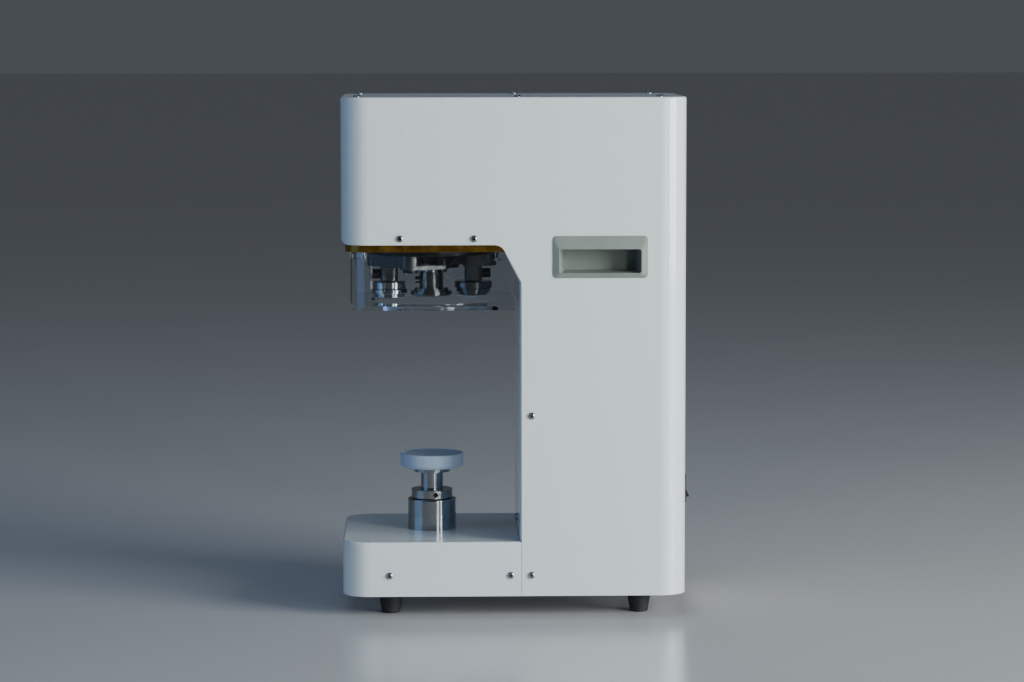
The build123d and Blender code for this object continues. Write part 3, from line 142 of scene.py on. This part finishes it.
def paint_recess_shade(mat, shader):
    """Paints shade into sockets and crevices narrower than the reach: the base colour is darkened
    where ambient occlusion finds nearby surfaces.
    """
    source = shader.inputs["Base Color"].links[0].from_socket
    occlusion = new_node(mat, "ShaderNodeAmbientOcclusion", samples=8)
    occlusion.inputs["Distance"].default_value = PAINTED_SHADE_REACH
    depth = spread(mat, occlusion.outputs["AO"], PAINTED_SHADE_DARK, 1.0, 0.25, 0.85)
    mixed = new_node(mat, "ShaderNodeMix", data_type="RGBA", blend_type="MULTIPLY")
    mixed.inputs["Factor"].default_value = 1.0
    link(mat, source, mixed.inputs["A"])
    link(mat, depth, mixed.inputs["B"])
    link(mat, mixed.outputs["Result"], shader.inputs["Base Color"])


def shade(color, factor):
    return tuple(min(1.0, c * factor) for c in color)


def powder_coat():
    """White gloss powder coat: faint orange peel, a little uneven in tone."""
    color = (0.80, 0.845, 0.855)
    mat, shader = start("white_coat", color, roughness=0.24, Coat_Weight=0.5,
                        Coat_Roughness=0.06)
    where = coords(mat)
    tint(mat, shader, noise(mat, where, 6, 3), shade(color, 0.985), shade(color, 1.01))
    link(mat, spread(mat, noise(mat, where, 30, 3), 0.2, 0.28), shader.inputs["Roughness"])
    relief(mat, shader, [(noise(mat, where, 520, 1), 0.05, 0.00005)])
    return mat


def turned_metal(name, color, roughness, with_painted_shade=False):
    """Lathe-turned metal: fine rings round the upright axis and cloudy polish."""
    mat, shader = start(name, color, metallic=1.0, roughness=roughness)
    rings = noise(mat, coords(mat, (0.02, 0.02, 1)), RING_SCALE, 5, 0.7)
    clouds = noise(mat, coords(mat), 60, 4)
    tint(mat, shader, clouds, shade(color, 0.9), shade(color, 1.05))
    link(mat, spread(mat, clouds, roughness * 0.75, roughness * 1.35), shader.inputs["Roughness"])
    relief(mat, shader, [(rings, RING_STRENGTH, 0.00003)])
    # Painted shade: occlusion darkens the colour in sockets and crevices.
    if with_painted_shade:
        paint_recess_shade(mat, shader)
    return mat


def machined(name, color, roughness, metallic=1.0, grain=(1, 1, 1), scale=700, depth=0.15,
             edge=0.0004, worn=0.18, **sockets):
    """Milled or ground metal with grain along one direction and worn, lighter patches."""
    mat, shader = start(name, color, metallic=metallic, roughness=roughness, **sockets)
    fine = noise(mat, coords(mat, grain), scale, 5, 0.65)
    wear = noise(mat, coords(mat), 85, 6, 0.6)
    tint(mat, shader, wear, shade(color, 1 - worn), shade(color, 1 + worn))
    link(mat, spread(mat, wear, roughness * 0.7, roughness * 1.3), shader.inputs["Roughness"])
    relief(mat, shader, [(fine, depth, 0.0001)], edge=edge)
    return mat


def moulded(name, color, roughness, grain=900, depth=0.25, edge=0.0005, **sockets):
    """Moulded plastic or rubber: fine spark texture, slight tone change and soft edges."""
    mat, shader = start(name, color, roughness=roughness, **sockets)
    fine = noise(mat, coords(mat), grain, 3, 0.6)
    broad = noise(mat, coords(mat), 30, 4)
    tint(mat, shader, broad, shade(color, 0.93), shade(color, 1.06))
    link(mat, spread(mat, broad, roughness * 0.9, roughness * 1.12), shader.inputs["Roughness"])
    relief(mat, shader, [(fine, depth, 0.00012)], edge=edge)
    return mat


def clear_acrylic():
    """Clear acrylic with faint smudges and a barely uneven surface."""
    mat, shader = start("clear_acrylic", (0.93, 0.97, 1.0), roughness=0.02, IOR=1.49,
                        Transmission_Weight=1.0)
    smudge = noise(mat, coords(mat), 22, 5)
    link(mat, spread(mat, smudge, 0.01, 0.05), shader.inputs["Roughness"])
    relief(mat, shader, [(noise(mat, coords(mat), 14, 2), 0.01, 0.0002)])
    return mat


def frosted():
    """Frosted pale blue plastic that lets a little light through."""
    color = (0.55, 0.66, 0.81)
    mat, shader = start("frosted_plastic", color, roughness=0.42, IOR=1.45,
                        Transmission_Weight=0.12, Subsurface_Weight=0.35, Subsurface_Scale=0.006)
    where = coords(mat)
    tint(mat, shader, noise(mat, where, 50, 3), shade(color, 0.95), shade(color, 1.06))
    link(mat, spread(mat, noise(mat, where, 300, 3), 0.36, 0.5), shader.inputs["Roughness"])
    relief(mat, shader, [(noise(mat, where, 900, 2), 0.12, 0.0001)], edge=0.0006)
    return mat


def display_face():
    """Dark, lightly smudged glass over a display that is off."""
    mat, shader = start("display_glass", (0.012, 0.014, 0.02), roughness=0.08, Coat_Weight=1.0,
                        Coat_Roughness=0.03)
    smudge = noise(mat, coords(mat), 35, 5)
    tint(mat, shader, smudge, (0.010, 0.012, 0.018), (0.018, 0.020, 0.028))
    link(mat, spread(mat, smudge, 0.05, 0.16), shader.inputs["Roughness"])
    return mat


def board_face():
    """Green circuit board with traces as a raised, two-tone pattern."""
    mat, shader = start("board_green", (0.03, 0.16, 0.08), roughness=0.35, Coat_Weight=0.4)
    traces = noise(mat, coords(mat, (1, 1, 6)), 130, 2)
    tint(mat, shader, traces, (0.02, 0.11, 0.05), (0.05, 0.24, 0.12), 0.47, 0.53)
    relief(mat, shader, [(traces, 0.2, 0.0001)])
    return mat


looks = {
    "white_coat": powder_coat(),
    "steel_frame": machined("zinc_plate", (0.52, 0.53, 0.55), 0.34, scale=260),
    "bright_steel": turned_metal("bright_steel", (0.36, 0.37, 0.38), 0.12),
    # Stainless gets painted shade darkened into its sockets and crevices.
    "stainless": turned_metal("stainless", (0.40, 0.39, 0.38), 0.2, with_painted_shade=True),
    # tool_steel is a darker turned steel; on the chuck and the rear roller it serves as painted shade.
    "tool_steel": turned_metal("tool_steel", (0.17, 0.165, 0.16), 0.16),
    "black_steel": machined("black_oxide", (0.035, 0.034, 0.036), 0.38, metallic=0.75, scale=400),
    "arm_steel": machined("ground_steel", (0.13, 0.125, 0.12), 0.36, grain=(1, 1, 8), scale=500),
    "gold_anodised": machined("gold_anodised", (0.31, 0.165, 0.03), 0.28, grain=(0.1, 1, 6), scale=700,
                              depth=0.05, worn=0.06),
    "aluminium": turned_metal("turned_aluminium", (0.70, 0.71, 0.72), 0.3),
    "clear_guard": clear_acrylic(),
    "display_glass": display_face(),
    "display_frame": moulded("display_frame", (0.02, 0.02, 0.022), 0.42),
    "handle_grey": moulded("handle_grey", (0.24, 0.267, 0.236), 0.5, Specular_IOR_Level=0.4),
    "tray_plastic": frosted(),
    "black_rubber": moulded("black_rubber", (0.018, 0.018, 0.018), 0.62, grain=500, depth=0.35),
    "black_plastic": moulded("black_plastic", (0.02, 0.02, 0.022), 0.36),
    "motor_case": moulded("motor_case", (0.07, 0.075, 0.085), 0.4, grain=300),
    "board_green": board_face(),
    "brass": turned_metal("brass", (0.70, 0.52, 0.22), 0.25),
}


def dress(obj, mat):
    obj.data.materials.clear()
    obj.data.materials.append(mat)
    for face in obj.data.polygons:
        face.material_index = 0


slots = {row["node"]: row["material_slot"] for row in frame["record"]["subparts"]}
for name, obj in nodes.items():
    dress(obj, looks[slots[name]])
# Painted shade: the chuck and the rear roller get the darker tool steel so that they read as shaded,
# while the front roller stays bright.
for name in ("chuck", "roller_rear"):
    dress(nodes[name], looks["tool_steel"])

# ---------------------------------------------------------------- stage, light and camera

low, high = cad_box
aim_height = (low.z + high.z) / 2
head_low, head_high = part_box("body_shell")
head_middle = (head_low.y + head_high.y) / 2

FLOOR_REACH = 40.0
FLOOR_COLOR = (0.62, 0.605, 0.60)
FLOOR_ROUGHNESS = 0.22

WORLD_COLOR = (0.80, 0.88, 1.0)
WORLD_STRENGTH = 0.09

# Each light: its place, its size, its power in watts and its colour.
LIGHTS = {
    "window": ((1.6, 2.5, 0.95), (1.7, 1.7), 138, (0.92, 1.0, 0.985)),
    "side_strip": ((2.75, 1.35, 0.85), (0.35, 1.6), 12, (0.95, 1.0, 1.0)),
    "front_sky": ((0.9, -2.6, 0.9), (2.2, 1.7), 11, (0.20, 0.48, 1.0)),
    "top_soft": ((0.2, -0.6, 3.0), (2.4, 2.4), 11, (0.32, 0.56, 1.0)),
}

# A long lens, a little above the head, looks slightly down along -X.
SENSOR = 36.0
LENS = 115.73
CLIP_START = 0.05
CAMERA_YAW = math.radians(-1.538)
CAMERA_PITCH = math.radians(5.461)
CAMERA_ROLL = math.radians(-0.076)
CAMERA_REACH = 3.5049
CAMERA_RISE = 0.6153
CAMERA_SIDE = -0.0940


def plain_floor():
    """A pale, slightly glossy sheet under the machine."""
    corners = [(-1, -1), (1, -1), (1, 1), (-1, 1)]
    mesh = bpy.data.meshes.new("floor")
    mesh.from_pydata([(x * FLOOR_REACH, y * FLOOR_REACH, 0) for x, y in corners], [], [(0, 1, 2, 3)])
    obj = bpy.data.objects.new("floor", mesh)
    scene.collection.objects.link(obj)
    mat, shader = start("floor", FLOOR_COLOR, roughness=FLOOR_ROUGHNESS)
    tone = noise(mat, coords(mat), 3, 3)
    tint(mat, shader, tone, shade(FLOOR_COLOR, 0.985), shade(FLOOR_COLOR, 1.015))
    obj.data.materials.append(mat)
    return obj


def area_light(name, place, size, power, color):
    """A soft rectangular light that faces the middle of the machine."""
    data = bpy.data.lights.new(name, "AREA")
    data.shape = "RECTANGLE"
    data.size, data.size_y = size
    data.energy = power
    data.color = color
    lamp = bpy.data.objects.new(name, data)
    lamp.location = place
    aim = Vector((0, 0, aim_height)) - Vector(place)
    lamp.rotation_mode = "QUATERNION"
    lamp.rotation_quaternion = aim.to_track_quat("-Z", "Y")
    scene.collection.objects.link(lamp)


def soft_world():
    world = bpy.data.worlds.new("studio")
    world.use_nodes = True
    background = world.node_tree.nodes["Background"]
    background.inputs["Color"].default_value = (*WORLD_COLOR, 1)
    background.inputs["Strength"].default_value = WORLD_STRENGTH
    return world


def camera_turn():
    """The camera's rotation: yaw from straight along -X, then pitch down, then roll."""
    yaw = Matrix.Rotation(CAMERA_YAW, 3, "Z")
    level = yaw @ Vector((-1, 0, 0))
    right = yaw @ Vector((0, 1, 0))
    rise = Vector((0, 0, 1))
    forward = math.cos(CAMERA_PITCH) * level - math.sin(CAMERA_PITCH) * rise
    up = math.sin(CAMERA_PITCH) * level + math.cos(CAMERA_PITCH) * rise
    rolled_right = math.cos(CAMERA_ROLL) * right + math.sin(CAMERA_ROLL) * up
    rolled_up = math.cos(CAMERA_ROLL) * up - math.sin(CAMERA_ROLL) * right
    return Matrix((rolled_right, rolled_up, -forward)).transposed().to_quaternion()


def photo_camera():
    data = bpy.data.cameras.new("camera")
    data.sensor_width = SENSOR
    data.lens = LENS
    data.clip_start = CLIP_START
    camera = bpy.data.objects.new("camera", data)
    camera.rotation_mode = "QUATERNION"
    camera.rotation_quaternion = camera_turn()
    camera.location = (CAMERA_REACH, CAMERA_SIDE + head_middle, CAMERA_RISE)
    scene.collection.objects.link(camera)
    return camera


plain_floor()
for name, settings in LIGHTS.items():
    area_light(name, *settings)
scene.world = soft_world()
scene.view_settings.view_transform = "AgX"
scene.camera = photo_camera()
